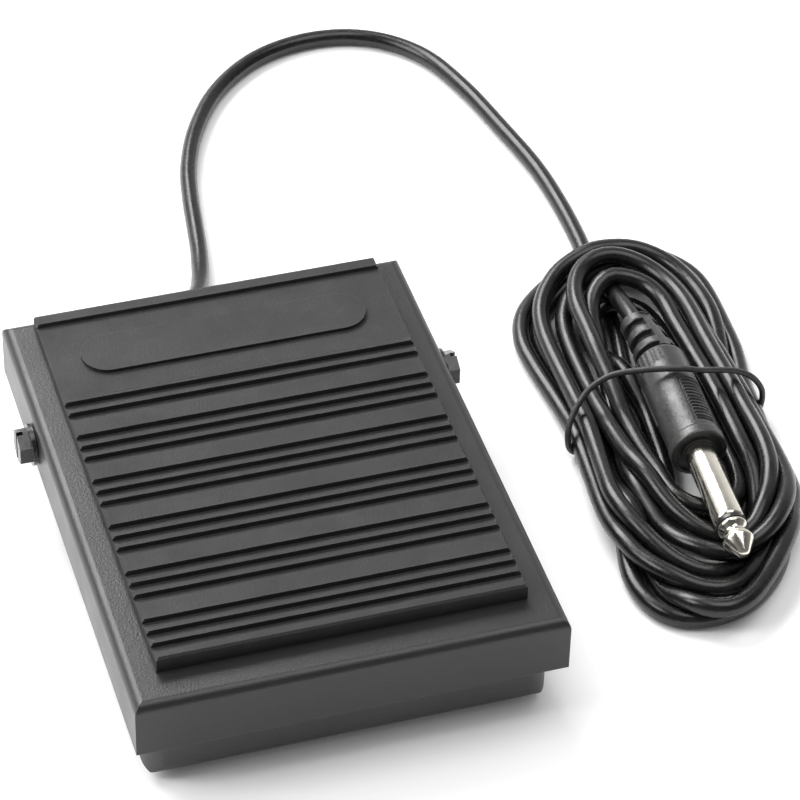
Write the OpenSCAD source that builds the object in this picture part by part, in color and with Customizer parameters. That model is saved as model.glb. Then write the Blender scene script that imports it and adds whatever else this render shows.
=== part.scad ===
// Compact foot switch: a hinged sheet-steel cover over a moulded base, with a
// cord, a tied hank and a 6.35 mm mono plug.
// Frame: origin on the floor under the middle of the cover, +X to the right,
// +Y to the back where the cord leaves, +Z up. Millimetres.

/* [Cover] */
// Outer width of the cover
cover_w = 84; // [80:1:90]
// Outer length of the cover
cover_l = 112; // [108:1:120]
// Height of the cover's top above the floor
cover_top = 24; // [24:0.5:26]
// Height of the folded skirts
skirt_h = 12; // [10:0.5:12]
// Thickness of the sheet steel
sheet_t = 1.2; // [1:0.1:1.5]
// Outside radius of the folds
fold_r = 2; // [1.6:0.1:2.5]

/* [Rubber pad] */
// Width of the rubber pad
pad_w = 71.8; // [66:0.2:74]
// Thickness of the rubber pad over the ribs
pad_t = 3.6; // [3:0.1:4]
// Depth of the grooves between the ribs
groove_d = 1.1; // [0.6:0.1:1.6]
// How far the plain panel lies below the ribs
panel_d = 0.9; // [0.4:0.1:1.2]
// Height of the blank raised plaque above the plain panel
plaque_h = 0.8; // [0.4:0.1:1]

/* [Base] */
// Half width of the base pan
base_x = 39.8; // [39:0.1:40]
// Distance of the base pan's front face from the centre
base_front = 52.9; // [51:0.1:53.5]
// Distance of the base pan's back face from the centre
base_back = 54; // [53:0.1:54.2]
// Underside of the base pan above the floor
base_z = 1.6; // [1.2:0.1:2]
// Height of the base pan's rim above the floor
rim_z = 16.4; // [15:0.1:16.8]
// Wall thickness of the base pan
wall_t = 2; // [1.6:0.1:2.4]
// Radius of the base pan's upright corners
corner_r = 4.5; // [4:0.1:6]
// Radius of the rubber feet
foot_r = 5; // [4:0.5:6]

/* [Hinge] */
// Distance of the hinge axis behind the centre
hinge_y = 27; // [26:0.5:28]
// Height of the hinge axis above the floor
hinge_z = 17; // [16.8:0.1:17.4]
// Radius of the screw's bearing shoulder
shoulder_r = 2.5; // [2.2:0.1:2.7]
// Radial running clearance between shoulder and bush
run_gap = 0.05; // [0.02:0.01:0.1]
// Width across the flats of the hexagon head
hex_af = 6.35; // [6:0.05:7]

/* [Switch] */
// Distance of the plunger behind the centre
switch_y = 3; // [2:0.5:4]
// Height of the top of the switch case
switch_top = 17.6; // [17:0.1:17.8]
// Radius of the switch plunger
plunger_r = 1; // [0.8:0.1:1.2]

/* [Springs] */
// Distance of each spring from the centre line
spring_x = 24; // [22:1:26]
// Distance of the springs in front of the centre
spring_y = 30; // [28:1:34]
// Mean radius of the spring coils
coil_r = 4; // [3.8:0.1:4.2]
// Radius of the spring wire
wire_r = 0.5; // [0.4:0.05:0.6]
// Number of coils
coils = 6.5; // [5:0.5:8]

/* [Cord and plug] */
// Diameter of the cord
cord_d = 3.8; // [3.6:0.1:4]
// Height of the middle of the cord where it leaves the base
cord_z = 7; // [6.8:0.1:7.2]
// Diameter of the plug's sleeve
plug_d = 6.35; // [6.3:0.05:6.4]
// Diameter of the plug's moulded boot
boot_d = 11.8; // [11:0.1:12.4]
// Height of the plug's axis above the floor
plug_z = 10.4; // [10:0.1:11]
// Height of the hank beside the plug
hank_h = 10; // [8:0.5:12]
// Height of the hank under the plug's tip
hank_low = 5.8; // [4:0.2:6]

/* [Hidden] */
$fn = 48;
under = cover_top - sheet_t;
in_x = cover_w / 2 - sheet_t;
in_y = cover_l / 2 - sheet_t;
skirt_z = cover_top - skirt_h;
floor_z = base_z + wall_t;
spring_lo = 6;
spring_hi = under - 1;
plug_x = 87.5;
plug_y = -4.5;
plug_turn = -93.4;
cord_r = cord_d / 2;
sleeve_l = 21;
ring_l = 1.2;

// Groove pattern, front to back: five threes and one pair
groove_gap = 3.25;
groove_pitch = 13.2;
groove_first = -41;
pad_front = -47.9;
pad_back = 53.2;
groove_ys = concat(
    [for (k = [0:4], i = [-1:1]) groove_first + k * groove_pitch + i * groove_gap],
    [groove_first + 5 * groove_pitch - groove_gap, groove_first + 5 * groove_pitch]);

// Route of the free stretch of cord, from the strain relief to the hank
route = [
    [0, 66, 7], [1.6, 71, 6.2], [4, 77, 4.6], [6.6, 84, 2.8], [9, 94, 1.95],
    [10.6, 104, 1.95], [12, 113, 1.95], [14.4, 124, 1.95], [19.5, 137, 1.95],
    [28, 150, 1.95], [40, 159.5, 1.95], [54, 163, 1.95], [67, 160, 1.95],
    [77, 150.5, 1.95], [82.5, 136, 1.95], [86, 120, 1.95], [89, 104, 1.95],
    [90, 90, 1.95], [90, 78, 1.95], [89.4, 68, 1.95]];

// Routes of the two leads, from the terminals to the end of the cord's jacket
lead_s = [[-7.5, 4.4, 5.6], [-7.5, 8, 5.4], [-7.4, 13, 5], [-6.2, 20, 4.8],
    [-3.4, 28, 5.8], [-1, 34, 7], [-0.8, 37, 7]];
lead_g = [[0, 4.4, 5.6], [0.1, 8, 5.4], [0.8, 13, 5], [2, 20, 4.8],
    [2, 28, 5.8], [1, 34, 7], [0.8, 37, 7]];

// Sweep of a round tube along a smooth curve through the points
function cr(a, b, c, d, t) = 0.5 * ((2 * b) + (c - a) * t
    + (2 * a - 5 * b + 4 * c - d) * t * t
    + (3 * b - a - 3 * c + d) * t * t * t);
function at(p, i) = p[max(0, min(len(p) - 1, i))];
function smooth(p, n) = concat(
    [for (i = [0:len(p) - 2], j = [0:n - 1])
        cr(at(p, i - 1), p[i], p[i + 1], at(p, i + 2), j / n)],
    [p[len(p) - 1]]);
function unit(v) = v / norm(v);
function tangent(q, i) = unit(at(q, i + 1) - at(q, i - 1));
function ring_at(q, i, r, n) = let (
    t = tangent(q, i),
    s = unit(cross([0, 0, 1], t)),
    u = cross(t, s))
    [for (k = [0:n - 1]) q[i] + r * (cos(360 * k / n) * s + sin(360 * k / n) * u)];

module swept(q, r, n) {
    m = len(q);
    pts = [for (i = [0:m - 1]) each ring_at(q, i, r, n)];
    sides = [for (i = [0:m - 2], k = [0:n - 1])
        each [[i * n + k, (i + 1) * n + k, (i + 1) * n + (k + 1) % n],
              [i * n + k, (i + 1) * n + (k + 1) % n, i * n + (k + 1) % n]]];
    lo = [[for (k = [0:n - 1]) k]];
    hi = [[for (k = [n - 1:-1:0]) (m - 1) * n + k]];
    polyhedron(pts, concat(sides, lo, hi), convexity = 10);
}

module both() {
    children();
    mirror([1, 0, 0]) children();
}

module slab(x0, x1, y0, y1, z0, z1) {
    translate([x0, y0, z0]) cube([x1 - x0, y1 - y0, z1 - z0]);
}

// Outer and inner sections of the folded cover, w is the half width

module filled_section(w) {
    translate([-w, 0]) square([2 * w, skirt_h - fold_r]);
    translate([-w + fold_r, 0]) square([2 * w - 2 * fold_r, skirt_h]);
    translate([-w + fold_r, skirt_h - fold_r]) circle(fold_r);
    translate([w - fold_r, skirt_h - fold_r]) circle(fold_r);
}

module hollow_section(w) {
    fi = fold_r - sheet_t;
    wi = w - sheet_t;
    translate([-wi, -1]) square([2 * wi, skirt_h - fold_r + 1]);
    translate([-wi + fi, -1]) square([2 * wi - 2 * fi, skirt_h - sheet_t + 1]);
    translate([-wi + fi, skirt_h - fold_r]) circle(fi);
    translate([wi - fi, skirt_h - fold_r]) circle(fi);
}

module along_y(l) {
    translate([0, l / 2, skirt_z]) rotate([90, 0, 0]) linear_extrude(l) children();
}

module along_x(l) {
    translate([-l / 2, 0, skirt_z]) rotate([90, 0, 90]) linear_extrude(l) children();
}

module top_cover() {
    color([0.36, 0.36, 0.35]) difference() {
        intersection() {
            along_y(cover_l) filled_section(cover_w / 2);
            along_x(cover_w) filled_section(cover_l / 2);
        }
        intersection() {
            along_y(cover_l - 2 * sheet_t) hollow_section(cover_w / 2);
            along_x(cover_w - 2 * sheet_t) hollow_section(cover_l / 2);
        }
        both() translate([in_x - 1, hinge_y, hinge_z]) rotate([0, 90, 0])
            cylinder(r = shoulder_r + run_gap + 1, h = sheet_t + 2);
    }
}

// Section of the pad from front to back: ribs, grooves, plain panel, back bar
module pad_profile() {
    last = groove_ys[16];
    pts = concat(
        [[pad_front, 0], [pad_front, pad_t - 0.4], [pad_front + 0.4, pad_t]],
        [for (y = groove_ys) each [
            [y - 1.9, pad_t], [y - 0.1, pad_t - groove_d],
            [y + 0.4, pad_t - groove_d], [y + 0.5, pad_t]]],
        [[last + 0.9, pad_t], [last + 2.4, pad_t - panel_d],
         [50, pad_t - panel_d], [50.15, pad_t],
         [pad_back - 0.8, pad_t], [pad_back - 0.2, pad_t - 0.3],
         [pad_back, pad_t - 0.9], [pad_back, 0]]);
    polygon(pts);
}

module rubber_pad() {
    color([0.33, 0.33, 0.33]) translate([0, 0, cover_top]) {
        intersection() {
            translate([-pad_w / 2, 0, 0]) rotate([90, 0, 90])
                linear_extrude(pad_w) pad_profile();
            translate([0, 60, 0]) rotate([90, 0, 0]) linear_extrude(120)
                polygon([[-pad_w / 2, 0], [pad_w / 2, 0], [pad_w / 2, pad_t - 0.7],
                    [pad_w / 2 - 0.5, pad_t], [0.5 - pad_w / 2, pad_t],
                    [-pad_w / 2, pad_t - 0.7]]);
        }
        translate([0, 38.4, pad_t - panel_d - 0.5])
            linear_extrude(plaque_h + 0.5) plaque();
    }
}

module plaque() {
    square([48, 11], center = true);
    translate([-24, 0]) circle(5.5);
    translate([24, 0]) circle(5.5);
}

// Pressed bracket spot-welded under the cover, over the plunger
module striker() {
    color([0.6, 0.6, 0.6]) difference() {
        union() {
            slab(-8, 8, switch_y - 4, switch_y + 5, under - 1, under);
            slab(-6, 0, switch_y - 3, switch_y + 3, 19.6, under - 0.5);
        }
        slab(-4.8, -1.2, switch_y - 4, switch_y + 4, 20.8, under - 1);
    }
}

module spring_cups() {
    color([0.85, 0.85, 0.82]) both() translate([spring_x, -spring_y, 0]) {
        translate([0, 0, under - 1]) cylinder(r = 5.6, h = 1);
        translate([0, 0, under - 4]) cylinder(r = 3, h = 3.5);
    }
}

module hinge_bushes() {
    color([0.08, 0.08, 0.08]) both() translate([0, hinge_y, hinge_z])
        rotate([0, 90, 0]) difference() {
            union() {
                translate([0, 0, in_x]) cylinder(r = shoulder_r + run_gap + 1, h = sheet_t);
                translate([0, 0, in_x - 0.6]) cylinder(r = 4.6, h = 0.6);
            }
            translate([0, 0, in_x - 1]) cylinder(r = shoulder_r + run_gap, h = 4);
        }
}

module hinge_screws() {
    color([0.1, 0.1, 0.1]) both() translate([0, hinge_y, hinge_z])
        rotate([0, 90, 0]) difference() {
            union() {
                translate([0, 0, base_x - 8]) cylinder(r = 1.75, h = 8.5);
                translate([0, 0, base_x]) cylinder(r = shoulder_r, h = 2.6);
                translate([0, 0, cover_w / 2 + 0.3]) cylinder(r = 4.25, h = 0.8);
                translate([0, 0, cover_w / 2 + 1])
                    cylinder(r = hex_af / 2 / cos(30), h = 2.6, $fn = 6);
            }
            translate([-5, -0.55, cover_w / 2 + 2.3]) cube([10, 1.1, 3]);
        }
}

// Rectangle from (x0, y0) to (x1, y1) with round corners
module round_rect(x0, y0, x1, y1, r) {
    translate([x0 + r, y0]) square([x1 - x0 - 2 * r, y1 - y0]);
    translate([x0, y0 + r]) square([x1 - x0, y1 - y0 - 2 * r]);
    for (x = [x0 + r, x1 - r], y = [y0 + r, y1 - r]) translate([x, y]) circle(r);
}

// Section of a tray: upright sides over a rounded bottom edge
module tray_section(a0, a1, z0, z1, e) {
    translate([a0, z0 + e]) square([a1 - a0, z1 - z0 - e]);
    translate([a0 + e, z0]) square([a1 - a0 - 2 * e, e + 0.5]);
    for (a = [a0 + e, a1 - e]) translate([a, z0 + e]) circle(e);
}

module tray(x, yf, yb, r, e, z0, z1) {
    intersection() {
        translate([0, 0, z0 - 1]) linear_extrude(z1 - z0 + 2)
            round_rect(-x, -yf, x, yb, r);
        translate([0, yb + 1, 0]) rotate([90, 0, 0]) linear_extrude(yf + yb + 2)
            tray_section(-x, x, z0, z1, e);
        translate([-x - 1, 0, 0]) rotate([90, 0, 90]) linear_extrude(2 * x + 2)
            tray_section(-yf, yb, z0, z1, e);
    }
}

module base_pan() {
    color([0.24, 0.24, 0.25]) difference() {
        union() {
            difference() {
                tray(base_x, base_front, base_back, corner_r, 2.5, base_z, rim_z);
                tray(base_x - wall_t, base_front - wall_t, base_back - wall_t,
                    corner_r - wall_t, 1, floor_z, rim_z + 5);
            }
            // hinge ears and their screw bosses
            both() {
                slab(base_x - wall_t, base_x, hinge_y - 6, hinge_y + 6, 10, 21.6);
                translate([base_x - 10, hinge_y, hinge_z]) rotate([0, 90, 0])
                    cylinder(r = 4, h = 9);
                slab(base_x - 10, base_x - 1, hinge_y - 1, hinge_y + 1,
                    floor_z - 0.5, hinge_z - 2);
            }
            // posts for the bumpers
            both() {
                translate([30, -42, floor_z - 0.5]) cylinder(r = 3.5, h = 16.3 - floor_z);
                translate([28, 46, floor_z - 0.5]) cylinder(r = 3.5, h = 20.5 - floor_z);
            }
            // spring seats with guide pins
            both() translate([spring_x, -spring_y, 0]) {
                translate([0, 0, floor_z - 0.5]) cylinder(r = 6.2, h = spring_lo - floor_z + 0.5);
                translate([0, 0, floor_z]) cylinder(r = 3, h = 10 - floor_z);
            }
            // two posts behind the switch
            for (sx = [-4.75, 4.75])
                slab(sx - 2, sx + 2, switch_y + 3.2, switch_y + 9, floor_z - 0.5, 16);
            // saddle and screw posts for the cord clamp
            slab(-4, 4, 39.5, 44.5, floor_z - 0.5, 7);
            both() translate([7, 42, floor_z - 0.5]) cylinder(r = 2.8, h = 7.9 - floor_z);
        }
        both() translate([base_x - 8, hinge_y, hinge_z]) rotate([0, 90, 0])
            cylinder(r = 1.75, h = 10);
        // recesses for the feet
        for (sx = [-1, 1], y = [-42, 43])
            translate([sx * 30, y, base_z - 1]) cylinder(r = foot_r, h = 1.6);
        // hole for the strain relief
        translate([0, base_back - 4, cord_z]) rotate([-90, 0, 0]) cylinder(r = 2.9, h = 6);
        // bed for the cord
        translate([0, 38, cord_z]) rotate([-90, 0, 0]) cylinder(r = cord_r, h = 8);
        // screw holes of the clamp and of the switch
        both() translate([7, 42, 4]) cylinder(r = 1.1, h = 6);
        for (sx = [-4.75, 4.75])
            translate([sx, switch_y + 2, 12.4]) rotate([-90, 0, 0]) cylinder(r = 1, h = 6);
        // pockets for the bumper stems
        both() {
            translate([30, -42, 14]) cylinder(r = 1.5, h = 4);
            translate([28, 46, 18]) cylinder(r = 1.5, h = 4);
        }
    }
}

module rubber_feet() {
    color([0.12, 0.12, 0.12]) for (sx = [-1, 1], y = [-42, 43])
        translate([sx * 30, y, 0]) {
            cylinder(r1 = foot_r - 0.6, r2 = foot_r, h = 0.6);
            translate([0, 0, 0.6]) cylinder(r = foot_r, h = base_z);
        }
}

module bumper() {
    cylinder(r = 3, h = 2.4);
    translate([0, 0, -1.8]) cylinder(r = 1.5, h = 1.9);
}

module stop_bumpers() {
    color([0.15, 0.15, 0.15]) both() {
        translate([30, -42, 15.8]) bumper();
        translate([28, 46, 20]) bumper();
    }
}

function coil_pt(a, z0, z1, turns) = let (
    f = a / (360 * turns),
    g = f < 0.12 ? f * 0.3 : f > 0.88 ? 1 - (1 - f) * 0.3 : 0.036 + (f - 0.12) * 0.928 / 0.76)
    [coil_r * cos(a), coil_r * sin(a), z0 + (z1 - z0) * g];

module return_springs() {
    n = floor(coils * 14);
    q = [for (i = [0:n]) coil_pt(360 * coils * i / n, spring_lo + wire_r + 0.02,
        spring_hi - wire_r - 0.02, coils)];
    color([0.7, 0.7, 0.72]) for (sx = [-1, 1])
        translate([sx * spring_x, -spring_y, 0]) swept(q, wire_r, 8);
}

module switch_body() {
    color([0.1, 0.1, 0.1]) difference() {
        slab(-9.9, 9.9, switch_y - 3.2, switch_y + 3.2, switch_top - 10.2, switch_top);
        translate([-3, switch_y, 13.5]) cylinder(r = plunger_r + 0.05, h = 10);
        for (sx = [-4.75, 4.75]) translate([sx, switch_y - 4, 12.4])
            rotate([-90, 0, 0]) cylinder(r = 1.1, h = 8);
    }
}

module switch_plunger() {
    color([0.8, 0.2, 0.15]) translate([-3, switch_y, 15]) {
        cylinder(r = plunger_r, h = 4);
        translate([0, 0, 3.9]) cylinder(r1 = plunger_r, r2 = 0.6, h = 0.5);
    }
}

module switch_terminals() {
    color([0.8, 0.75, 0.6]) for (x = [-7.5, 0, 7.5])
        slab(x - 0.3, x + 0.3, switch_y - 1.4, switch_y + 1.4, 4.4, switch_top - 10.2);
}

module switch_screws() {
    color([0.75, 0.75, 0.75]) for (sx = [-4.75, 4.75])
        translate([sx, switch_y - 3.2, 12.4]) rotate([-90, 0, 0]) difference() {
            union() {
                cylinder(r = 1, h = 10.4);
                translate([0, 0, -1.3]) cylinder(r = 1.9, h = 1.3);
            }
            translate([-3, -0.25, -2]) cube([6, 0.5, 1.3]);
        }
}

module lead_signal() {
    color([0.75, 0.75, 0.75]) swept(smooth(lead_s, 3), 0.6, 8);
}

module lead_ground() {
    color([0.7, 0.1, 0.08]) swept(smooth(lead_g, 3), 0.6, 8);
}

// Strain relief: plug in the wall, outer flange and a tapered ribbed tail
module cord_grommet() {
    color([0.06, 0.06, 0.06]) translate([0, 0, cord_z]) rotate([-90, 0, 0])
        difference() {
            union() {
                translate([0, 0, base_back - 4]) cylinder(r = 3.35, h = 2);
                translate([0, 0, base_back - 2.5]) cylinder(r = 2.9, h = 3);
                translate([0, 0, base_back]) cylinder(r = 4.1, h = 1.4);
                translate([0, 0, base_back + 1]) cylinder(r1 = 3.3, r2 = 2.5, h = 11);
            }
            translate([0, 0, base_back - 6]) cylinder(r = cord_r, h = 20);
        }
}

module cord_inner() {
    color([0.05, 0.05, 0.05]) translate([0, 37, cord_z]) rotate([-90, 0, 0])
        cylinder(r = cord_r, h = 29);
}

module cord_clamp() {
    color([0.9, 0.9, 0.88]) difference() {
        slab(-10, 10, 39.5, 44.5, 7.4, 10.8);
        translate([0, 38, cord_z]) rotate([-90, 0, 0]) cylinder(r = cord_r, h = 8);
        both() translate([7, 42, 7]) cylinder(r = 1.3, h = 5);
        both() slab(4.4, 11, 39, 45, 9.4, 12);
    }
}

module clamp_screws() {
    color([0.75, 0.75, 0.75]) both() translate([7, 42, 4.2]) difference() {
        union() {
            cylinder(r = 1.1, h = 5.3);
            translate([0, 0, 5.2]) cylinder(r = 2, h = 1.4);
        }
        translate([-3, -0.3, 6]) cube([6, 0.6, 2]);
    }
}

module cord_tube() {
    color([0.05, 0.05, 0.05]) swept(smooth(route, 3), cord_r, 8);
}

module hank_outline() {
    difference() {
        hull() {
            translate([88, 45.5]) circle(24);
            translate([85, -23.5]) circle(21.5);
        }
        hull() {
            translate([88.4, 29.4]) circle(9);
            translate([86, -20]) circle(9);
        }
    }
}

// Outer shape of the hank: high beside the plug, low under the plug's tip
module cord_hank() {
    color([0.05, 0.05, 0.05]) difference() {
        linear_extrude(hank_h) hank_outline();
        slab(50, 120, -60, -16, hank_low, hank_h + 1);
    }
}

// Elastic band round the hank and over the boot
module cord_tie() {
    color([0.12, 0.12, 0.12]) translate([0, 20.2, 0]) rotate([90, 0, 0])
        linear_extrude(1.4) difference() {
            polygon([[62.8, 0.8], [62.8, 7], [65, 10.4], [72, 12.6], [82, 17.2],
                [94, 17.2], [102, 12.8], [108.8, 10.4], [110.8, 7], [110.8, 0.8],
                [109.6, 0.05], [64, 0.05]]);
            polygon([[64, 1.4], [64, 6.8], [65.8, 9.3], [72.4, 11.4], [82.3, 16],
                [93.7, 16], [101.6, 11.7], [108, 9.3], [109.6, 6.6], [109.6, 1.4]]);
        }
}

module plug_place() {
    translate([plug_x, plug_y, plug_z]) rotate([0, 0, plug_turn])
        rotate([0, 90, 0]) children();
}

// Moulded boot: collar, body, neck and ribbed tail, along the plug's axis
module plug_boot() {
    b = boot_d / 2;
    color([0.08, 0.08, 0.08]) plug_place() difference() {
        rotate_extrude() polygon([
            [0, 0], [b - 0.7, 0], [b, -0.7], [b, -2.6], [b - 0.3, -3],
            [b - 0.4, -20], [b - 0.4, -27.3], [b - 0.9, -28.3], [3.6, -28.5],
            [3.1, -28.5], [3.1, -30.2], [4.6, -30.3], [4.5, -32.5], [3, -32.5],
            [3, -34.7], [4.2, -34.8], [4, -36.9], [2.8, -36.9],
            [2.8, -39], [3.7, -39.1], [3.5, -41.6], [0, -41.6]]);
        translate([0, 0, -8]) cylinder(r = 2.5, h = 9);
    }
}

module plug_sleeve() {
    color([0.8, 0.79, 0.76]) plug_place() {
        cylinder(r = plug_d / 2, h = sleeve_l);
        translate([0, 0, -8]) cylinder(r = 2.5, h = 8.5);
    }
}

module plug_ring() {
    color([0.05, 0.05, 0.05]) plug_place() translate([0, 0, sleeve_l])
        cylinder(r = plug_d / 2 - 0.19, h = ring_l);
}

module plug_tip() {
    z = sleeve_l + ring_l;
    color([0.8, 0.79, 0.76]) plug_place() rotate_extrude() polygon([
        [0, z], [3, z], [3, z + 0.6], [2, z + 2], [2, z + 2.6],
        [3, z + 3.9], [3, z + 4.5], [0.7, z + 8], [0, z + 8.3]]);
}

top_cover();
rubber_pad();
striker();
spring_cups();
hinge_bushes();
hinge_screws();
base_pan();
rubber_feet();
stop_bumpers();
return_springs();
switch_body();
switch_plunger();
switch_terminals();
switch_screws();
lead_signal();
lead_ground();
cord_grommet();
cord_inner();
cord_clamp();
clamp_screws();
cord_tube();
cord_hank();
cord_tie();
plug_boot();
plug_sleeve();
plug_ring();
plug_tip();
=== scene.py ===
import math

import bpy
import numpy as np
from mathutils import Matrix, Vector


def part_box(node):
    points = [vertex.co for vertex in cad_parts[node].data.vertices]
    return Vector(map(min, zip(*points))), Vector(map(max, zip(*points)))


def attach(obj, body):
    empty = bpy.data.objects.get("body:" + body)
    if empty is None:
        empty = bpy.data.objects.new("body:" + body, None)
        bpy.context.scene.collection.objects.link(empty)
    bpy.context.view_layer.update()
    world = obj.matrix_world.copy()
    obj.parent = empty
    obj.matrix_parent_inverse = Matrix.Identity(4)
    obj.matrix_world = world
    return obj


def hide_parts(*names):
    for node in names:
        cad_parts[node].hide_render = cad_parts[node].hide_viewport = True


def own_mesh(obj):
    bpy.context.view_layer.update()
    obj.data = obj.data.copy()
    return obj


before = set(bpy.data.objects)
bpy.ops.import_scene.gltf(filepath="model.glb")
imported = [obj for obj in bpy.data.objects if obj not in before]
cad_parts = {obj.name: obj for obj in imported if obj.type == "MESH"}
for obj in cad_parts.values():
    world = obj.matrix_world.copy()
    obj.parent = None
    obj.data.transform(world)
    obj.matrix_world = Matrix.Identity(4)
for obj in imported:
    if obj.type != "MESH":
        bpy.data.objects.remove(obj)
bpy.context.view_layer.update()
MM = 0.001

# ---------------------------------------------------------------- camera
camera_data = bpy.data.cameras.new("camera")
camera_data.lens = 170.8
camera_data.sensor_width = 36
camera_data.clip_end = 20
camera = bpy.data.objects.new("camera", camera_data)
camera.location = (-0.14565, -0.52591, 0.52357)
camera.rotation_euler = [math.radians(a) for a in (48.563, -1.2, -16.936)]
bpy.context.scene.collection.objects.link(camera)
bpy.context.scene.camera = camera

# ---------------------------------------------------------------- cord
CORD_D = 3.8
CORD_R = CORD_D / 2
FLOOR_Z = CORD_R + 0.05  # height of the centre of a cord lying on the floor

# Route from the strain relief to the hank, the same points as in part.scad
ROUTE = [
    (0, 64, 7), (0, 66, 7), (1.6, 71, 6.2), (4, 77, 4.6), (6.6, 84, 2.8), (9, 94, 1.95),
    (10.6, 104, 1.95), (12, 113, 1.95), (14.4, 124, 1.95), (19.5, 137, 1.95),
    (28, 150, 1.95), (40, 159.5, 1.95), (54, 163, 1.95), (67, 160, 1.95),
    (77, 150.5, 1.95), (82.5, 136, 1.95), (86, 120, 1.95), (89, 104, 1.95),
    (90, 90, 1.95), (90, 78, 1.95), (89.4, 68, 1.95)]

BAND_Y = 14           # where the elastic band goes round the hank
BAND_T = 1.2          # how much it lifts the turns lying on it
LEVEL = 3.45          # height of one cord lying in the dip between two others
STEP = 1.9            # spacing of the cord's points, half a diameter
ROUNDS = 400          # rounds of settling
GRAVITY = 0.02
PULL = np.array([0.05, 0.05, 0.01])  # towards the place where the cord was laid
STIFF, STIFF_WIDE = 0.4, 0.16        # against a kink at one point, and over six
SPAN = 8              # points between the ends of a bend
LEAST_CHORD = 6.7     # least distance of those ends, in steps

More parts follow.
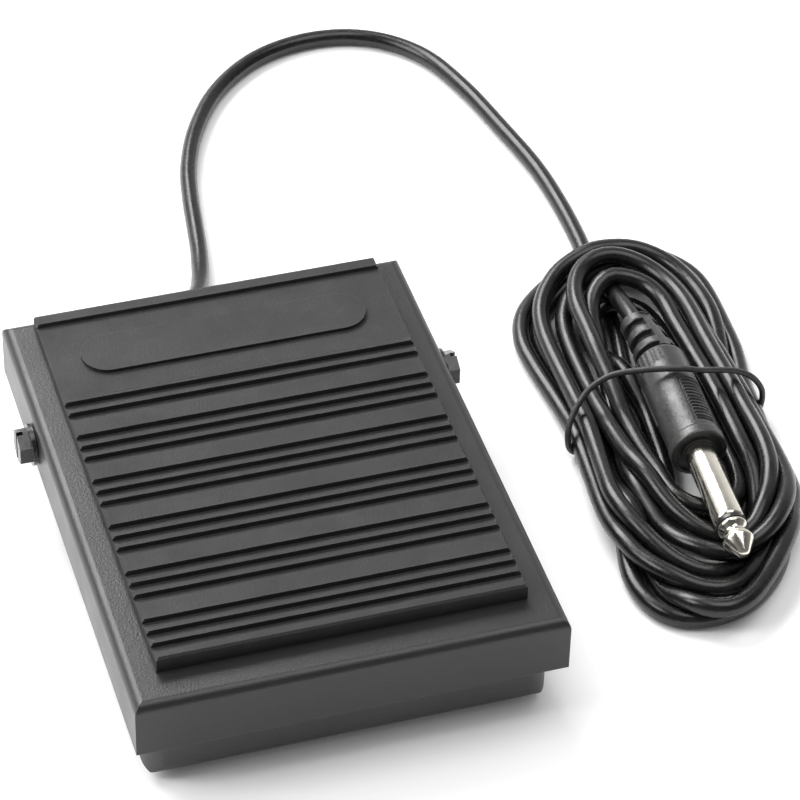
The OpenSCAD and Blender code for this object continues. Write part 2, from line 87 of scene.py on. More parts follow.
# The hank, turn by turn: x, y and level. Each turn runs down its left leg, round the lower bend,
# up its right leg and round the upper bend.
TURNS = [
    [(89, 60, 0), (88.4, 52, 0), (87.2, 44, 0), (85.2, 36, 0), (82.8, 29, 0), (80.8, 22, 0), (79.8, 14, 0),
     (76.8, 3, 0), (72, -8, 0), (67.8, -18, 0), (65.8, -27, 0), (67, -34.5, 0), (71, -39.5, 0),
     (77, -41.4, 0), (84.4, -40.2, 0), (91, -35.6, 0), (95.8, -29.6, 0), (98.8, -22, 0), (99.4, -12, 0.2),
     (99.6, -4, 0.6), (100, 4, 0.9), (100, 14, 1), (101.8, 27, 0.6), (105, 40, 0), (105.6, 49, 0),
     (103.8, 57, 0), (99, 62, 0.6), (92, 63, 1.1), (85, 61.8, 1), (78, 58.5, 0.2), (73, 52.5, 0),
     (71, 46, 0)],
    [(71, 38, 0), (72, 26, 0), (72.5, 14, 0), (72, 2, 0.3), (71.2, -10, 0.9), (70.2, -20, 0.3),
     (69.9, -27, 0), (70.6, -34, 0.3), (73.2, -40.4, 0.8), (78.4, -43.6, 1), (83.5, -42.4, 1),
     (87.8, -39, 1), (92, -34.4, 0.9), (97, -27.4, 0.7), (101.4, -18.4, 0.5), (104, -7.5, 0.2),
     (105.2, 3, 0), (105.8, 14, 0), (107.2, 27, 0), (109.4, 40, 0.2), (110, 50, 0.4), (109, 58, 0.5),
     (105.5, 63.9, 0.5), (99.5, 67.1, 0.8), (92, 66.5, 1.1), (84, 64.4, 0.6), (76.5, 61, 0), (70.2, 55, 0),
     (67.4, 47, 0)],
    [(67.5, 39, 0), (68.4, 28, 0), (68.8, 14, 0), (67.8, 3, 0.4), (66.7, -6, 0.8), (66.4, -15, 1),
     (67.2, -23, 1), (70, -29.5, 1), (74, -34.4, 1), (79.5, -37.2, 1), (85, -36.2, 1), (89.6, -32.4, 1),
     (93.8, -27.2, 1), (97.4, -21, 0.9), (100, -14.5, 0.4), (101.3, -7, 0), (101.6, 3, 0), (101.9, 14, 0),
     (104, 27, 0.4), (107, 40, 0.9), (107, 48, 1), (105.2, 56, 1.1), (101.3, 61.7, 1.2), (96, 64.7, 1.3),
     (89.4, 65.1, 1.3), (81.4, 62.4, 1.3), (76.4, 57.8, 1.2), (73.2, 52.8, 1.1), (71.5, 47, 1)],
    [(70.8, 40, 1), (70.7, 28, 1), (70.3, 14, 1), (69.3, 4, 1), (68.4, -5, 1), (68.6, -12, 1), (70, -18, 1),
     (72.5, -24, 0.9), (75.8, -28.4, 0.7), (80.4, -30.8, 0.5), (85.4, -30.2, 0.3), (89.6, -27.4, 0.1),
     (92.4, -23.6, 0), (94.8, -18.4, 0.2), (96.4, -13, 0.8), (97, -7, 1.4), (97.4, 1, 1.9), (98.1, 14, 2),
     (98.1, 27, 2), (97.6, 38, 2), (97.5, 44, 2), (95.4, 49.5, 2), (90.4, 52.5, 2), (84.9, 50.8, 1.8),
     (82, 45.5, 1.4)],
    [(81.5, 37, 1), (80.2, 28, 1), (78, 20, 0.7), (76.3, 14, 0.1), (74.6, 4, 0.4), (73.8, -5, 1.1),
     (74.2, -12, 1), (75.8, -18.4, 0.8), (78.4, -23.6, 1), (82.6, -27.8, 1), (87.5, -29.2, 1),
     (92.8, -27.6, 1), (97, -23.2, 1), (100.4, -17.4, 1), (102.8, -10.8, 1), (103.8, -3, 1), (104, 5, 1),
     (103.8, 14, 1), (103.5, 27, 1), (103.8, 39, 1), (103.8, 46.6, 1), (102.6, 53.6, 1), (99.8, 58.8, 1),
     (95.5, 61.5, 1), (90, 61.6, 1), (84.5, 58.8, 1), (80.2, 54.6, 1), (77, 49, 1), (75.6, 43, 1)],
    [(75, 36, 1), (74.6, 26, 1), (74.3, 14, 1), (74.1, 4.6, 1), (74.3, -1, 1), (75.3, -6.4, 1),
     (77.3, -12.6, 1), (80.2, -18.4, 1), (84.4, -23.2, 1), (89.4, -25, 1), (94.2, -23, 1), (98, -18.4, 1.2),
     (100.4, -13, 1.5), (101.6, -7, 1.8), (102, 0, 2), (101.9, 14, 2), (101.8, 27, 2), (102, 38, 2),
     (101.7, 45, 2), (99.9, 51.8, 2), (96.4, 57.2, 2.1), (91.3, 60, 2.2), (85.5, 58.9, 2.2),
     (81.3, 54, 2.1), (79.4, 47, 2)],
    [(78.9, 38, 1.8), (78.6, 26, 1.3), (78.3, 14, 1), (78.8, 4, 1), (79.8, -2, 1), (80.4, -8, 1),
     (82.9, -13.2, 1), (88, -15.8, 0.9), (93, -13.4, 0.9), (95.4, -8, 0.9), (95.7, -2, 0.9), (95.8, 4, 1),
     (96.2, 14, 1), (96.3, 27, 1), (96, 36, 0.9), (96, 43, 0.6), (93.9, 48.6, 0.9), (88.4, 51, 1.2),
     (82.9, 48.6, 1), (80.8, 43, 0.6)],
    [(81, 37, 0.7), (82.6, 29, 1), (83.8, 21, 0.5), (83.8, 14, 0), (83.2, 4, 0), (82.1, -3, 0),
     (81.4, -9.5, 0), (83.7, -15.4, 0), (89.2, -17.8, 0), (94.7, -15.4, 0), (97, -9.5, 0), (96.9, -3, 0),
     (97.2, 5, 0), (98.1, 14, 0), (99.2, 27, 0), (101.3, 40, 0), (103.5, 47, 0), (104.2, 53, 0),
     (102.2, 58.6, 0), (96.8, 61, 0.4), (91.4, 58.8, 0.8), (89, 53, 1.3), (88.7, 46.5, 2), (88.6, 40, 2.43),
     (88.7, 36, 2.45)],
]


def catmull(points, n):
    """A smooth curve through the points, n steps for each stretch."""
    p = np.array(points, float)
    q = np.vstack([2 * p[0] - p[1], p, 2 * p[-1] - p[-2]])
    t = (np.arange(n) / n)[:, None]
    out = []
    for i in range(len(p) - 1):
        a, b, c, d = q[i:i + 4]
        out.append(0.5 * (2 * b + (c - a) * t + (2 * a - 5 * b + 4 * c - d) * t ** 2
                          + (3 * b - a - 3 * c + d) * t ** 3))
    return np.vstack(out + [p[-1:]])


def evenly(p, step):
    """The curve again with points step apart."""
    s = np.concatenate([[0], np.cumsum(np.linalg.norm(np.diff(p, axis=0), axis=1))])
    at = np.linspace(0, s[-1], int(round(s[-1] / step)) + 1)
    return np.stack([np.interp(at, s, p[:, k]) for k in range(3)], 1)


def height(level):
    """The height of a cord's centre at a level, in mm."""
    return FLOOR_Z + LEVEL * level


def relax(p, fixed_head, fixed_tail, solids, rounds):
    """Lets the turns settle: they push each other one diameter apart, keep their length and
    stay smooth, off the floor and off the plug. The same result each run."""
    goal = p.copy()
    n = len(p)
    step = np.linalg.norm(np.diff(p, axis=0), axis=1).mean()
    free = np.ones(n, bool)
    free[:fixed_head] = False
    free[n - fixed_tail:] = False
    skip = int(math.ceil(1.6 * CORD_D / step))
    gi, gj = None, None
    for r in range(rounds):
        # gravity and a weak pull to the laid-out place
        p[free, 2] -= GRAVITY
        p[free] += PULL * (goal[free] - p[free])
        # stiffness
        bow = 0.5 * (goal[:-2] + goal[2:]) - goal[1:-1]
        d = STIFF * (0.5 * (p[:-2] + p[2:]) - bow - p[1:-1])
        p[1:-1][free[1:-1]] += d[free[1:-1]]
        bow = 0.5 * (goal[:-6] + goal[6:]) - goal[3:-3]
        d = STIFF_WIDE * (0.5 * (p[:-6] + p[6:]) - bow - p[3:-3])
        p[3:-3][free[3:-3]] += d[free[3:-3]]
        # tight bends open towards a radius of two diameters
        d = p[SPAN:] - p[:-SPAN]
        dist = np.linalg.norm(d, axis=1)
        push = (0.25 * np.clip(LEAST_CHORD * step - dist, 0, None) / dist)[:, None] * d
        p[SPAN:][free[SPAN:]] += push[free[SPAN:]]
        p[:-SPAN][free[:-SPAN]] -= push[free[:-SPAN]]
        # turns apart
        if r % 5 == 0:
            gi, gj = [], []
            for i0 in range(0, n, 256):
                a = p[i0:i0 + 256]
                d2 = ((a[:, None, :] - p[None, :, :]) ** 2).sum(2)
                ii, jj = np.nonzero(d2 < (CORD_D + 2.2) ** 2)
                ii = ii + i0
                keep = jj > ii + skip
                gi.append(ii[keep])
                gj.append(jj[keep])
            gi, gj = np.concatenate(gi), np.concatenate(gj)
        for _ in range(2):
            d = p[gi] - p[gj]
            dist = np.linalg.norm(d, axis=1) + 1e-9
            over = np.clip(CORD_D + 0.02 - dist, 0, None)
            push = (0.5 * over / dist)[:, None] * d
            move = np.zeros_like(p)
            count = np.zeros(n)
            np.add.at(move, gi, push)
            np.add.at(move, gj, -push)
            np.add.at(count, gi, over > 0)
            np.add.at(count, gj, over > 0)
            move /= np.maximum(1, count * 0.6)[:, None]
            p[free] += move[free]
            for a, b, radius in solids:
                ab = b - a
                t = np.clip(((p - a) @ ab) / (ab @ ab), 0, 1)
                c = a + t[:, None] * ab
                w = p - c
                dist = np.linalg.norm(w, axis=1) + 1e-9
                deep = np.clip(radius + CORD_R - dist, 0, None)
                hit = free & (deep > 0)
                p[hit] += (deep / dist)[hit, None] * w[hit]
            ground = FLOOR_Z + BAND_T * np.exp(-((p[:, 1] - BAND_Y) / 7) ** 2) * (p[:, 0] > 60)
            p[free, 2] = np.maximum(p[free, 2], ground[free])
        # length
        for _ in range(4):
            for odd in (0, 1):
                a = np.arange(odd, n - 1, 2)
                d = p[a + 1] - p[a]
                dist = np.linalg.norm(d, axis=1) + 1e-9
                wa, wb = free[a].astype(float), free[a + 1].astype(float)
                s = np.maximum(wa + wb, 1e-9)
                c = ((dist - step) / dist)[:, None] * d * 0.5
                p[a] += c * (2 * wa / s * 0.5)[:, None]
                p[a + 1] -= c * (2 * wb / s * 0.5)[:, None]
    return p


PLUG = np.array([87.5, -4.5, 10.4])
PLUG_TURN = math.radians(-93.4)
PLUG_DIR = np.array([math.cos(PLUG_TURN), math.sin(PLUG_TURN), 0])
PLUG_SIDE = np.array([-PLUG_DIR[1], PLUG_DIR[0], 0])
UP = np.array([0, 0, 1.0])


def plug_at(l, side=0.0, up=0.0):
    """A point beside the plug's axis, l towards the tip from the front of its collar, in mm."""
    return PLUG + l * PLUG_DIR + side * PLUG_SIDE + up * UP


head = catmull(ROUTE, 8)
laid = catmull([ROUTE[-1]] + [(x, y, height(v)) for turn in TURNS for x, y, v in turn], 8)
laid = evenly(laid, STEP)
# The plug as three rods with a radius each: its boot, the boot's tail and its shank
solids = [(plug_at(1), plug_at(-28), 5.7), (plug_at(-28), plug_at(-40), 3.6),
          (plug_at(0), plug_at(27), 3.2)]
settled = relax(laid, 3, 4, solids, ROUNDS)
line = np.vstack([evenly(head, STEP)[:-1], settled])
line = np.vstack([line[:1], (line[:-2] + 2 * line[1:-1] + line[2:]) / 4, line[-1:]])


# ---------------------------------------------------------------- materials
def material(name, colour, rough, metal=0.0, specular=0.5, coat=0.0, mottle=0.12, mottle_scale=60,
             grain=0.15, grain_scale=1800, pores=0.0, wear=None, wear_at=0.0006, dust=0.0, brush=None,
             rough_spread=0.08, fine=0.0):
    """A material with three scales of detail in the object's own coordinates: mottled colour,
    roughness patches and fine grain, with pores, wear along edges and dust where asked."""
    m = bpy.data.materials.new(name)
    m.use_nodes = True
    nt = m.node_tree
    n, k = nt.nodes, nt.links
    p = n["Principled BSDF"]
    p.inputs["Metallic"].default_value = metal
    p.inputs["IOR"].default_value = 1.5
    p.inputs["Specular IOR Level"].default_value = specular
    p.inputs["Coat Weight"].default_value = coat
    p.inputs["Coat Roughness"].default_value = 0.08
    where = n.new("ShaderNodeTexCoord").outputs["Object"]
    if brush:
        mp = n.new("ShaderNodeMapping")
        mp.inputs["Scale"].default_value = brush
        k.new(where, mp.inputs["Vector"])
        grain_where = mp.outputs["Vector"]
    else:
        grain_where = where

    def noise(at, scale, detail=3.0, rough_n=0.55):
        t = n.new("ShaderNodeTexNoise")
        t.inputs["Scale"].default_value = scale
        t.inputs["Detail"].default_value = detail
        t.inputs["Roughness"].default_value = rough_n
        k.new(at, t.inputs["Vector"])
        return t.outputs["Fac"]

    def ranged(v, a, b, lo, hi):
        r = n.new("ShaderNodeMapRange")
        r.inputs["From Min"].default_value = a
        r.inputs["From Max"].default_value = b
        r.inputs["To Min"].default_value = lo
        r.inputs["To Max"].default_value = hi
        k.new(v, r.inputs["Value"])
        return r.outputs["Result"]

    def mixed(fac, a, b):
        x = n.new("ShaderNodeMix")
        x.data_type = "RGBA"
        k.new(fac, x.inputs["Factor"])
        for socket, v in ((x.inputs["A"], a), (x.inputs["B"], b)):
            if isinstance(v, tuple):
                socket.default_value = (*v, 1)
            else:
                k.new(v, socket)
        return x.outputs["Result"]

    dark = tuple(c * (1 - mottle) for c in colour)
    light = tuple(min(1, c * (1 + mottle)) for c in colour)
    col = mixed(ranged(noise(where, mottle_scale, 4), 0.35, 0.65, 0, 1), dark, light)
    speck = noise(grain_where, grain_scale, 2)
    col = mixed(ranged(speck, 0.3, 0.7, 0, 0.25), col, tuple(min(1, c * 1.35 + 0.004) for c in colour))
    if dust:
        col = mixed(ranged(noise(where, mottle_scale * 5, 6, 0.7), 0.52, 0.8, 0, dust), col,
                    (0.42, 0.4, 0.37))
    if wear:
        b = n.new("ShaderNodeBevel")
        b.samples = 6
        b.inputs["Radius"].default_value = wear_at
        g = n.new("ShaderNodeNewGeometry")
        d = n.new("ShaderNodeVectorMath")
        d.operation = "DOT_PRODUCT"
        k.new(b.outputs["Normal"], d.inputs[0])
        k.new(g.outputs["Normal"], d.inputs[1])
        rim = ranged(d.outputs["Value"], 0.995, 0.9, 0, 1)
        broken = n.new("ShaderNodeMath")
        broken.operation = "MULTIPLY"
        k.new(rim, broken.inputs[0])
        k.new(ranged(noise(where, 420, 5, 0.7), 0.4, 0.62, 0.15, 1), broken.inputs[1])
        col = mixed(broken.outputs[0], col, wear)
    k.new(col, p.inputs["Base Color"])
    k.new(ranged(noise(where, mottle_scale * 3, 3), 0.3, 0.7, max(0.02, rough - rough_spread),
                 rough + rough_spread),
          p.inputs["Roughness"])
    bump = n.new("ShaderNodeBump")
    bump.inputs["Strength"].default_value = grain
    bump.inputs["Distance"].default_value = 0.00012
    k.new(speck, bump.inputs["Height"])
    last = bump
    if pores:
        v = n.new("ShaderNodeTexVoronoi")
        v.inputs["Scale"].default_value = grain_scale * 0.6
        k.new(grain_where, v.inputs["Vector"])
        b2 = n.new("ShaderNodeBump")
        b2.inputs["Strength"].default_value = pores
        b2.inputs["Distance"].default_value = 0.0001
        k.new(ranged(v.outputs["Distance"], 0.0, 0.4, 0, 1), b2.inputs["Height"])
        k.new(last.outputs["Normal"], b2.inputs["Normal"])
        last = b2
    if fine:
        b3 = n.new("ShaderNodeBump")
        b3.inputs["Strength"].default_value = fine
        b3.inputs["Distance"].default_value = 0.0004
        k.new(noise(where, 260, 3), b3.inputs["Height"])
        k.new(last.outputs["Normal"], b3.inputs["Normal"])
        last = b3
    k.new(last.outputs["Normal"], p.inputs["Normal"])
    return m


PAINT = material("satin_grey_paint", (0.024, 0.0238, 0.0235), 0.34, specular=0.42, mottle=0.05,
                 mottle_scale=25, grain=0.35, grain_scale=2600, pores=0.12, wear=(0.07, 0.07, 0.069),
                 wear_at=0.0005, fine=0.05, rough_spread=0.04)
PAD = material("matte_pad_rubber", (0.0255, 0.0255, 0.0255), 0.58, specular=0.3, mottle=0.06,
               mottle_scale=40, grain=0.5, grain_scale=2400, pores=0.25, wear=(0.06, 0.06, 0.06),
               wear_at=0.0004, dust=0.03, fine=0.1)
BASE = material("moulded_base_plastic", (0.034, 0.034, 0.037), 0.46, mottle=0.08, mottle_scale=30,
                grain=0.5, grain_scale=1700, pores=0.3, wear=(0.09, 0.09, 0.09), wear_at=0.0005, fine=0.05)
CORD = material("glossy_cord_plastic", (0.006, 0.006, 0.006), 0.28, specular=0.5, mottle=0.2,
                mottle_scale=90, grain=0.12, grain_scale=900, dust=0.03, fine=0.12, rough_spread=0.05)
BOOT = material("moulded_boot_plastic", (0.028, 0.028, 0.0275), 0.37, specular=0.65, mottle=0.15,
                mottle_scale=150, grain=0.4, grain_scale=1500, pores=0.25, wear=(0.07, 0.07, 0.068),
                wear_at=0.0003, dust=0.04, fine=0.2)
TIE = material("elastic_band", (0.03, 0.03, 0.03), 0.45, mottle=0.2, mottle_scale=400, grain=0.5,
               grain_scale=2200, brush=(1, 0.25, 1), dust=0.05)
NICKEL = material("nickel_plate", (0.78, 0.74, 0.66), 0.2, metal=1.0, mottle=0.04, mottle_scale=200,
                  grain=0.06, grain_scale=900, brush=(0.25, 6, 0.25), rough_spread=0.05, fine=0.03)
RING = material("insulator", (0.015, 0.015, 0.015), 0.25, mottle=0.2, mottle_scale=300, grain=0.2)
SCREW = material("blacked_steel", (0.012, 0.012, 0.0125), 0.3, specular=0.6, coat=0.1, mottle=0.2,
                 mottle_scale=300, grain=0.25, grain_scale=1500, wear=(0.14, 0.135, 0.13), wear_at=0.0003,
                 dust=0.04, fine=0.2)
ZINC = material("zinc_plate", (0.62, 0.62, 0.6), 0.3, metal=1.0, mottle=0.1, mottle_scale=220, grain=0.2,
                brush=(4, 0.4, 4))
SPRING = material("spring_wire", (0.5, 0.5, 0.52), 0.28, metal=1.0, mottle=0.12, mottle_scale=300,
                  grain=0.25)
WHITE = material("white_nylon", (0.72, 0.71, 0.66), 0.45, mottle=0.05, mottle_scale=80, grain=0.3,
                 pores=0.1)
BLACK = material("black_nylon", (0.025, 0.025, 0.025), 0.42, mottle=0.12, mottle_scale=120, grain=0.35,
                 pores=0.15, wear=(0.06, 0.06, 0.06), wear_at=0.0003)
FOOT = material("foot_rubber", (0.028, 0.028, 0.028), 0.75, specular=0.3, mottle=0.2, mottle_scale=140,
                grain=0.6, pores=0.3, dust=0.15)
SWITCH = material("switch_case", (0.03, 0.03, 0.032), 0.38, mottle=0.1, mottle_scale=160, grain=0.3,
                  wear=(0.06, 0.06, 0.06), wear_at=0.0003)
PLUNGER = material("plunger_plastic", (0.42, 0.05, 0.03), 0.34, mottle=0.08, mottle_scale=160, grain=0.25)
BRASS = material("tinned_brass", (0.72, 0.64, 0.42), 0.26, metal=1.0, mottle=0.1, mottle_scale=300,
                 grain=0.25)
LEADW = material("lead_sheath_white", (0.62, 0.61, 0.58), 0.42, mottle=0.06, mottle_scale=120, grain=0.25,
                 dust=0.05)
LEADR = material("lead_sheath_red", (0.4, 0.03, 0.022), 0.4, mottle=0.08, mottle_scale=120, grain=0.25)
LOOKS = { "top_cover": PAINT, "rubber_pad": PAD, "base_pan": BASE, "hinge_screws": SCREW,
    "hinge_bushes": BLACK, "striker": ZINC, "spring_cups": WHITE, "rubber_feet": FOOT, "stop_bumpers": FOOT,
    "return_springs": SPRING, "switch_body": SWITCH, "switch_plunger": PLUNGER, "switch_terminals": BRASS,
    "switch_screws": ZINC, "lead_signal": LEADR, "lead_ground": LEADW, "cord_grommet": BLACK,
    "cord_clamp": ZINC, "clamp_screws": ZINC, "cord_tube": CORD, "cord_hank": CORD, "cord_inner": CORD,
    "cord_tie": TIE, "plug_boot": BOOT, "plug_sleeve": NICKEL, "plug_ring": RING, "plug_tip": NICKEL}


def dress(o, m):
    """Gives an object one material in every slot it has."""
    if o.data.materials:
        for i in range(len(o.data.materials)):
            o.data.materials[i] = m
    else:
        o.data.materials.append(m)


for name, m in LOOKS.items():
    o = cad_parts[name]
    dress(o, m)
    o.data.shade_smooth()
    o.data.set_sharp_from_angle(angle=math.radians(32))


def link(o):
    bpy.context.scene.collection.objects.link(o)
    return o


def tube(name, points, radius, m, closed=False):
    """A round tube along the points, radius in mm, open with caps or closed into a loop."""
    data = bpy.data.curves.new(name, "CURVE")
    data.dimensions = "3D"
    data.bevel_depth = radius * MM
    data.bevel_resolution = 6
    data.use_fill_caps = True
    s = data.splines.new("POLY")
    s.points.add(len(points) - 1)
    s.points.foreach_set("co", np.column_stack([np.array(points) * MM, np.ones(len(points))]).ravel())
    s.use_smooth = True
    s.use_cyclic_u = closed
    data.materials.append(m)
    return link(bpy.data.objects.new(name, data))


def mesh_object(name, verts, faces, m, angle=35):
    """A mesh from vertices in mm, smooth except at edges sharper than angle."""
    me = bpy.data.meshes.new(name)
    me.from_pydata([tuple(v * MM) for v in verts], [], faces)
    me.validate()
    me.shade_smooth()
    me.set_sharp_from_angle(angle=math.radians(angle))
    me.materials.append(m)
    return link(bpy.data.objects.new(name, me))


def turned(name, profile, m, n=96, shape=None, step=None, angle=35, spine=None):
    """A piece turned on the plug's axis from (radius, l) pairs. shape(r, l, turn) may move a
    point's radius, with turn 0 at the top and positive towards +X. spine(l) bends the axis."""
    prof = [profile[0]]
    for (r0, l0), (r1, l1) in zip(profile, profile[1:]):
        d = math.hypot(r1 - r0, l1 - l0)
        parts = max(1, int(math.ceil(d / step))) if step else 1
        prof += [(r0 + (r1 - r0) * i / parts, l0 + (l1 - l0) * i / parts) for i in range(1, parts + 1)]
    verts, faces = [], []
    for r, l in prof:
        for i in range(n):
            a = 2 * math.pi * i / n
            turn = math.degrees(a) if a <= math.pi else math.degrees(a) - 360
            rr = shape(r, l, turn) if shape else r
            off = spine(l) if spine else (0.0, 0.0)
            verts.append(plug_at(l, rr * math.sin(a) + off[0], rr * math.cos(a) + off[1]))
    for j in range(len(prof) - 1):
        for i in range(n):
            b = (i + 1) % n
            faces.append((j * n + i, (j + 1) * n + i, (j + 1) * n + b, j * n + b))
    verts.append(plug_at(prof[0][1]))
    verts.append(plug_at(prof[-1][1], *(spine(prof[-1][1]) if spine else ())))
    for i in range(n):
        b = (i + 1) % n
        faces.append((len(verts) - 2, i, b))
        faces.append((len(verts) - 1, (len(prof) - 1) * n + b, (len(prof) - 1) * n + i))
    return mesh_object(name, verts, faces, m, angle)


# ---------------------------------------------------------------- cord, band and plug
cord = tube("cord", line, CORD_R, CORD)
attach(cord, "base")
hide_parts("cord_tube", "cord_hank", "cord_inner")

BAND = [(66.0, 12.2, 2.2), (65.6, 12.6, 4.2), (66.3, 14.2, 6.6), (68.6, 16.6, 9.2), (72.2, 18.4, 12.2),
        (76.6, 18.4, 14.6), (81.5, 16.6, 16.2), (86, 14.9, 17.0), (90.5, 14.0, 16.8), (94, 13.9, 15.6),
        (98, 14.8, 14.0), (102.5, 15.2, 12.4), (106, 14.8, 10.4), (108.2, 14.2, 7.4), (108.6, 13.8, 4.4),
        (107.6, 13.6, 1.6), (104.5, 13.5, 0.68), (98, 13.3, 0.66), (86, 13, 0.66), (74, 12.6, 0.66),
        (69.2, 12.4, 0.7), (67, 12.2, 1.2)]
loop = catmull([BAND[-1]] + BAND + BAND[:2], 6)[6:-6]
band = tube("elastic_loop", evenly(loop, 0.8)[:-1], 0.64, TIE, closed=True)
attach(band, "base")
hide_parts("cord_tie")


def smoothstep(a, b, v):
    """0 below a, 1 above b, smooth between."""
    t = min(1, max(0, (v - a) / (b - a)))
    return t * t * (3 - 2 * t)


def inside(v, a, b, soft):
    """1 between a and b, 0 outside, with edges as wide as soft."""
    return smoothstep(a - soft / 2, a + soft / 2, v) * (1 - smoothstep(b - soft / 2, b + soft / 2, v))


def boot_shape(r, l, turn):
    """The boot's two sunk grips with their ridges, its seam, its knurled collar and its tail's ribs."""
    if -22 < l < -2.8:
        panel = inside(l, -17.6, -4.2, 0.4) * max(inside(turn, 0, 54, 4),
                                                  inside(turn, -180, -126, 4) if turn < 0 else 0)
        r -= 0.42 * panel
        ridge = abs(((l + 4.8) / 1.0) % 1.0 - 0.5) * 2
        r += 0.5 * smoothstep(0.25, 0.7, ridge) * inside(l, -17.0, -4.8, 0.3) * max(
            inside(turn, 5, 50, 4), inside(turn, -175, -131, 4) if turn < 0 else 0)
    r += 0.3 * inside(l, -22.4, -10.2, 0.8) * inside(turn, -106, -95, 5)
    if -28.2 < l < -23:
        a = math.sin(2.9 * l + turn / 4.2) * math.sin(2.9 * l - turn / 4.2)
        r += 0.13 * a * inside(l, -27.6, -23.6, 0.6) * inside(turn, -95, -12, 8)
    if l < -29.4:
        # ribs: the grooves stop at strips left between them
        bar = max(inside(turn, 2, 40, 10), inside(abs(turn), 150, 181, 10))
        r = r + (tail_r(l) - 0.25 - r) * bar * (1 if l > -41 else 0)
    return r


def tail_r(l):
    """The radius of the boot's ribbed tail, which narrows away from the plug."""
    return 4.75 + (l + 29.4) * 0.1


def boot_spine(l):
    """How far the boot's tail bends sideways."""
    t = min(0, l + 27)
    return (-0.006 * t * t, 0.0)


rib = [(tail_r(-30.2) - 1.5, -30.2), (tail_r(-30.3) - 0.15, -30.3), (tail_r(-30.6), -30.6),
       (tail_r(-32.1), -32.1), (tail_r(-32.4) - 0.2, -32.4), (tail_r(-32.5) - 1.5, -32.5),
       (tail_r(-34.6) - 1.4, -34.6), (tail_r(-34.7) - 0.15, -34.7), (tail_r(-35), -35),
       (tail_r(-36.5), -36.5), (tail_r(-36.8) - 0.2, -36.8), (tail_r(-36.9) - 1.3, -36.9),
       (tail_r(-39) - 1.2, -39), (tail_r(-39.1) - 0.15, -39.1), (tail_r(-39.4), -39.4),
       (tail_r(-41.2), -41.2), (tail_r(-41.6) - 0.3, -41.6), (2.2, -41.8), (1.95, -41.8), (1.95, -40)]
boot = turned("moulded_boot", [
    (3.25, -3.0), (3.25, 0.0), (3.6, 0.0), (3.7, -0.5), (4.9, -0.5), (5.0, 0.0), (5.5, 0.0), (5.8, -0.2),
    (5.9, -0.6), (5.9, -2.3), (5.78, -2.6), (5.5, -2.75), (5.55, -3.0), (5.6, -8), (5.6, -20),
    (5.5, -27.4), (5.35, -28.0), (4.9, -28.4), (3.5, -28.5)] + rib,
    BOOT, n=220, shape=boot_shape, step=0.16, spine=boot_spine)
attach(boot, "base")
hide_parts("plug_boot")

sleeve = turned("turned_sleeve", [
    (2.5, -6), (3.175, -3), (3.175, 20.5), (3.1, 20.8), (2.95, 21.0), (1.6, 21.0), (1.6, 22)],
    NICKEL, n=128)
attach(sleeve, "base")
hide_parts("plug_sleeve")
ring = turned("insulator_ring", [
    (1.4, 20.9), (2.9, 21.0), (3.05, 21.2), (3.05, 22.0), (2.9, 22.2), (1.4, 22.3)], RING, n=96)
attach(ring, "base")
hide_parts("plug_ring")
tip = turned("turned_tip", [
    (1.2, 21.8), (2.8, 22.2), (3.05, 22.4), (3.1, 22.8), (2.95, 23.1), (2.4, 23.6), (2.12, 24.0),
    (2.05, 24.4), (2.2, 24.8), (2.65, 25.3), (3.05, 25.9), (3.17, 26.4), (3.17, 26.8), (3.0, 27.15),
    (1.2, 30.0), (0.9, 30.3), (0.4, 30.5)],
    NICKEL, n=128, angle=50)
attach(tip, "base")
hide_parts("plug_tip")


# ---------------------------------------------------------------- return springs
def wire(points, radius, n=12):
    """Vertices and faces of a round wire along the points, closed at both ends."""
    p = np.array(points, float)
    t = np.gradient(p, axis=0)
    t /= np.linalg.norm(t, axis=1)[:, None]
    s1 = np.cross(UP, t)
    s1 /= np.linalg.norm(s1, axis=1)[:, None]
    s2 = np.cross(t, s1)
    a = np.linspace(0, 2 * math.pi, n, endpoint=False)
    ring_v = p[:, None] + radius * (np.cos(a)[None, :, None] * s1[:,
                                                                  None] + np.sin(a)[None, :,
                                                                                    None] * s2[:, None])
    m = len(p)
    faces = [(j * n + i, j * n + (i + 1) % n, (j + 1) * n + (i + 1) % n, (j + 1) * n + i)
             for j in range(m - 1) for i in range(n)]
    faces += [tuple(range(n))[::-1], tuple((m - 1) * n + i for i in range(n))]
    return ring_v.reshape(-1, 3), faces


lo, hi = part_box("return_springs")
z0, z1 = lo[2] / MM + 0.5, hi[2] / MM - 0.5  # half a wire in from the CAD box
COILS = 6.5
END_COILS = 1.0       # at each end, lying flat
WIRE_R, COIL_R, COIL_Y = 0.5, 4, -30
FLAT_PITCH = 1.02     # one wire and a little more
PER_TURN = 36
verts, faces = [], []
for side in (-24, 24):
    helix = []
    for i in range(int(COILS * PER_TURN) + 1):
        turn = i / PER_TURN
        # the pitch opens between the two flat ends
        share = min(1, max(0, (turn - END_COILS) / (COILS - 2 * END_COILS)))
        flat = min(turn, END_COILS) + max(0, turn - (COILS - END_COILS))
        z = z0 + flat * FLAT_PITCH + share * (z1 - z0 - 2 * END_COILS * FLAT_PITCH)
        a = 2 * math.pi * turn
        helix.append((side + COIL_R * math.cos(a), COIL_Y + COIL_R * math.sin(a), z))
    v, f = wire(helix, WIRE_R)
    faces += [tuple(k + len(verts) for k in g) for g in f]
    verts += list(v)
springs = mesh_object("coil_springs", verts, faces, SPRING, 60)
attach(springs, "base")
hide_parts("return_springs")
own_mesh(springs)

# ---------------------------------------------------------------- stage
scene = bpy.context.scene
scene.view_settings.view_transform = "Standard"
scene.view_settings.look = "None"
world = bpy.data.worlds.new("world")
world.use_nodes = True
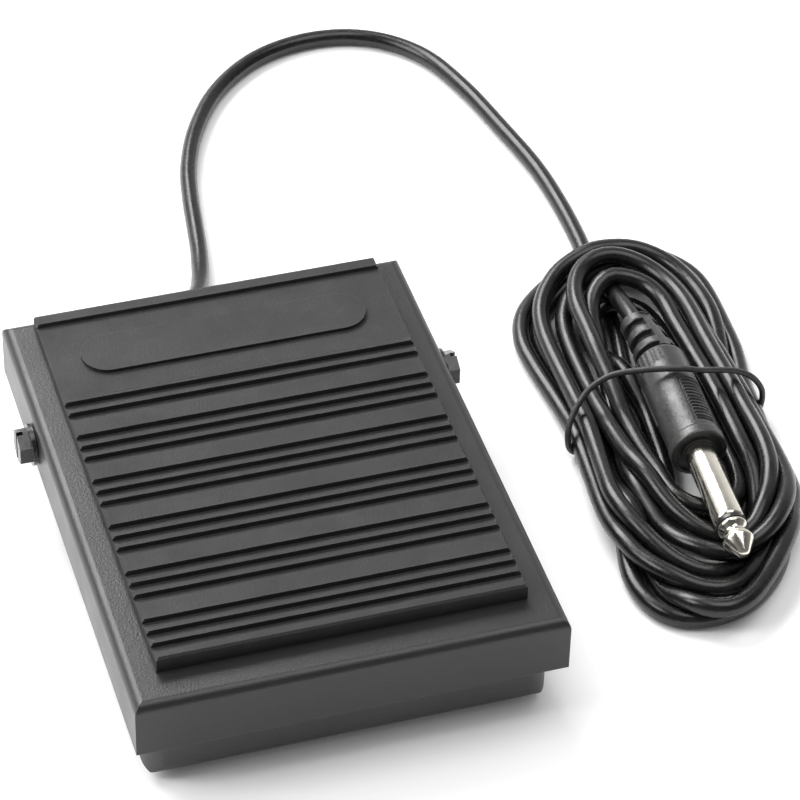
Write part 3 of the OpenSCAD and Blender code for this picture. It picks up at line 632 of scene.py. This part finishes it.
# A studio room: bright walls behind and low down, dark above and in front
wn, wl = world.node_tree.nodes, world.node_tree.links
sky = wn.new("ShaderNodeTexCoord").outputs["Generated"]
xyz = wn.new("ShaderNodeSeparateXYZ")
wl.new(sky, xyz.inputs[0])
room = []
for axis, lo, hi, a, b in (("Y", -0.15, 0.55, 0.2, 0.85), ("Z", 0.95, 0.3, 0.35, 1.0)):
    mr = wn.new("ShaderNodeMapRange")
    mr.interpolation_type = "SMOOTHSTEP"
    for k, v in zip(("From Min", "From Max", "To Min", "To Max"), (lo, hi, a, b)):
        mr.inputs[k].default_value = v
    wl.new(xyz.outputs[axis], mr.inputs["Value"])
    room.append(mr.outputs["Result"])
both = wn.new("ShaderNodeMath")
both.operation = "MULTIPLY"
wl.new(room[0], both.inputs[0])
wl.new(room[1], both.inputs[1])
wn["Background"].inputs[0].default_value = (1, 0.995, 0.985, 1)
wl.new(both.outputs[0], wn["Background"].inputs[1])
scene.world = world
me = bpy.data.meshes.new("floor")
me.from_pydata([(-3, -3, 0), (3, -3, 0), (3, 3, 0), (-3, 3, 0)], [], [(0, 1, 2, 3)])
floor = link(bpy.data.objects.new("floor", me))
FLOOR = material("pale_floor", (0.93, 0.93, 0.93), 0.7, specular=0.2, mottle=0.01, mottle_scale=4,
                 grain=0.02)
me.materials.append(FLOOR)
FLOOR.node_tree.nodes["Principled BSDF"].inputs["Emission Color"].default_value = (1, 1, 1, 1)
# The floor glows a little where it is open, and not in the gaps between the turns: a painted glow, dimmed
# by ambient occlusion into painted shade near and under the parts
fn, fl = FLOOR.node_tree.nodes, FLOOR.node_tree.links
shade = fn.new("ShaderNodeAmbientOcclusion")
shade.samples = 8
shade.inputs["Distance"].default_value = 0.05
glow = fn.new("ShaderNodeMath")
glow.operation = "MULTIPLY"
glow.inputs[1].default_value = 0.22
fl.new(shade.outputs["AO"], glow.inputs[0])
fl.new(glow.outputs[0], fn["Principled BSDF"].inputs["Emission Strength"])


def lamp(name, loc, size, power, aim=(0.03, 0.03, 0)):
    """A rectangular soft light, size in metres and power in watts."""
    l = bpy.data.lights.new(name, "AREA")
    l.shape = "RECTANGLE"
    l.size, l.size_y = size
    l.energy = power
    o = link(bpy.data.objects.new(name, l))
    o.location = loc
    o.rotation_euler = (Vector(aim) - Vector(loc)).to_track_quat("-Z", "Y").to_euler()


lamp("key", (-0.35, 1.0, 1.0), (1.0, 0.7), 22)
lamp("side", (-0.95, 0.1, 0.75), (0.5, 0.8), 9)
lamp("top", (0.35, -0.1, 1.7), (1.2, 1.2), 13)
